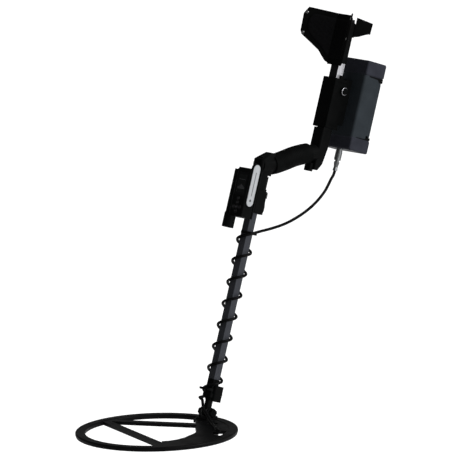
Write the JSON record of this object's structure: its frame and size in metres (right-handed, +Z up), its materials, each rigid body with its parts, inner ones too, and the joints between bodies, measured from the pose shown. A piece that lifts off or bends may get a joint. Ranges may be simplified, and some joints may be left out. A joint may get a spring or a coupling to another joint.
{
  "type": "metal detector",
  "caption": "Hand-held metal detector: round open search coil on a tilting lug, telescopic shaft with a wound lead, cranked grip with display pod and lamp, rear arm cuff, stand and control box.",
  "frame": {"origin": "middle of the hand grip", "axes": "+X forward, towards the search coil; +Y to the user's left; +Z up, with the coil lying level"},
  "size_m": [0.8749, 0.36, 0.8688],
  "materials": {
    "coil_plastic": "satin",
    "copper": "satin",
    "black_nylon": "matte",
    "carbon_grey": "satin",
    "cable": "satin",
    "strap": "matte",
    "grip_rubber": "matte",
    "zinc": "brushed",
    "box_plastic": "satin",
    "window": "clear",
    "lens": "clear",
    "board": "satin",
    "battery_wrap": "gloss",
    "tube_alu": "satin",
    "pad_foam": "matte",
    "washer": "matte"
  },
  "bodies": {
    "handle": {"handle_left": "black_nylon", "handle_right": "black_nylon", "handle_screws": "zinc", "grip_sleeve": "grip_rubber", "rod_collar": "black_nylon", "lever_pin": "zinc", "pod_case": "black_nylon", "pod_back": "black_nylon", "display_window": "window", "display_module": "board", "nameplate": "zinc", "lamp_barrel": "black_nylon", "lamp_head": "black_nylon", "lamp_lens": "lens", "tube_clamp": "black_nylon", "box_bracket": "black_nylon", "box_body": "box_plastic", "box_top_cap": "box_plastic", "box_bottom_cap": "box_plastic", "battery_pack": "battery_wrap", "main_board": "board", "speaker": "black_nylon", "coil_socket": "zinc", "headphone_socket": "zinc", "plug_boot": "black_nylon", "cable_lead": "cable"},
    "rod": {"lower_rod": "carbon_grey", "rod_end": "black_nylon", "lock_collar": "black_nylon", "cable_spiral": "cable", "cable_straps": "strap", "hinge_washers": "washer", "cable_tail": "cable"},
    "coil": {"coil_shell": "coil_plastic", "coil_winding": "copper", "skid_plate": "black_nylon", "coil_bracket": "coil_plastic", "coil_gland": "coil_plastic", "hinge_bolt": "black_nylon"},
    "coil_nut": {"hinge_knob": "black_nylon"},
    "lock_screw": {"lock_knob": "black_nylon"},
    "lever": {"rod_lever": "black_nylon"},
    "cuff": {"upper_tube": "tube_alu", "scale_plate": "zinc", "tube_cap": "black_nylon", "cuff_shell": "black_nylon", "cuff_saddle": "black_nylon", "cuff_pad": "pad_foam", "cuff_rivets": "zinc", "stand": "black_nylon"},
    "clamp_screw": {"clamp_knob": "black_nylon"},
    "door": {"battery_door": "box_plastic"},
    "plug_nut": {"plug_ring": "zinc"},
    "lamp_switch": {"lamp_button": "black_nylon"},
    "menu_key": {"key_menu": "black_nylon"},
    "up_key": {"key_up": "black_nylon"},
    "down_key": {"key_down": "black_nylon"},
    "left_key": {"key_left": "black_nylon"},
    "right_key": {"key_right": "black_nylon"},
    "power_key": {"key_power": "black_nylon"}
  },
  "joints": [
    {"name": "rod_slide", "type": "slide", "parent": "handle", "child": "rod", "axis": [0.342, 0, -0.9397], "range_m": [-0.012, 0.08], "deforming": ["cable_lead"]},
    {"name": "coil_tilt", "type": "hinge", "parent": "rod", "child": "coil", "pos_m": [0.28372, 0, -0.53099], "axis": [0, 1, 0], "range_deg": [-75, 55], "deforming": ["cable_tail"]},
    {"name": "coil_nut_turn", "type": "hinge", "parent": "coil", "child": "coil_nut", "pos_m": [0.28372, 0, -0.53099], "axis": [0, 1, 0], "range_deg": [0, 360]},
    {"name": "lock_screw_turn", "type": "hinge", "parent": "rod", "child": "lock_screw", "pos_m": [0.248, 0.002, -0.49716], "axis": [0.9397, 0, 0.342], "range_deg": [0, 360]},
    {"name": "lever_open", "type": "hinge", "parent": "handle", "child": "lever", "pos_m": [0.09306, 0, -0.07148], "axis": [0, 1, 0], "range_deg": [-110, 0]},
    {"name": "cuff_slide", "type": "slide", "parent": "handle", "child": "cuff", "axis": [-0.342, 0, 0.9397], "range_m": [-0.02, 0.02]},
    {"name": "clamp_screw_turn", "type": "hinge", "parent": "handle", "child": "clamp_screw", "pos_m": [-0.14951, 0, 0.12862], "axis": [0, 1, 0], "range_deg": [0, 540]},
    {"name": "door_open", "type": "hinge", "parent": "handle", "child": "door", "pos_m": [-0.19937, 0, 0.02587], "axis": [0, 1, 0], "range_deg": [-100, 0]},
    {"name": "plug_nut_turn", "type": "hinge", "parent": "handle", "child": "plug_nut", "pos_m": [-0.14694, 0, -0.0173], "axis": [-0.342, 0, 0.9397], "range_deg": [0, 360]},
    {"name": "lamp_switch_press", "type": "slide", "parent": "handle", "child": "lamp_switch", "axis": [0.342, 0, -0.9397], "range_m": [0, 0.0015], "stiffness_N_per_m": 600},
    {"name": "menu_key_press", "type": "slide", "parent": "handle", "child": "menu_key", "axis": [-0.9397, 0, -0.342], "range_m": [0, 0.0011], "stiffness_N_per_m": 500},
    {"name": "up_key_press", "type": "slide", "parent": "handle", "child": "up_key", "axis": [-0.9397, 0, -0.342], "range_m": [0, 0.0011], "stiffness_N_per_m": 500},
    {"name": "down_key_press", "type": "slide", "parent": "handle", "child": "down_key", "axis": [-0.9397, 0, -0.342], "range_m": [0, 0.0011], "stiffness_N_per_m": 500},
    {"name": "left_key_press", "type": "slide", "parent": "handle", "child": "left_key", "axis": [-0.9397, 0, -0.342], "range_m": [0, 0.0011], "stiffness_N_per_m": 500},
    {"name": "right_key_press", "type": "slide", "parent": "handle", "child": "right_key", "axis": [-0.9397, 0, -0.342], "range_m": [0, 0.0011], "stiffness_N_per_m": 500},
    {"name": "power_key_press", "type": "slide", "parent": "handle", "child": "power_key", "axis": [-0.9397, 0, -0.342], "range_m": [0, 0.0011], "stiffness_N_per_m": 500}
  ]
}
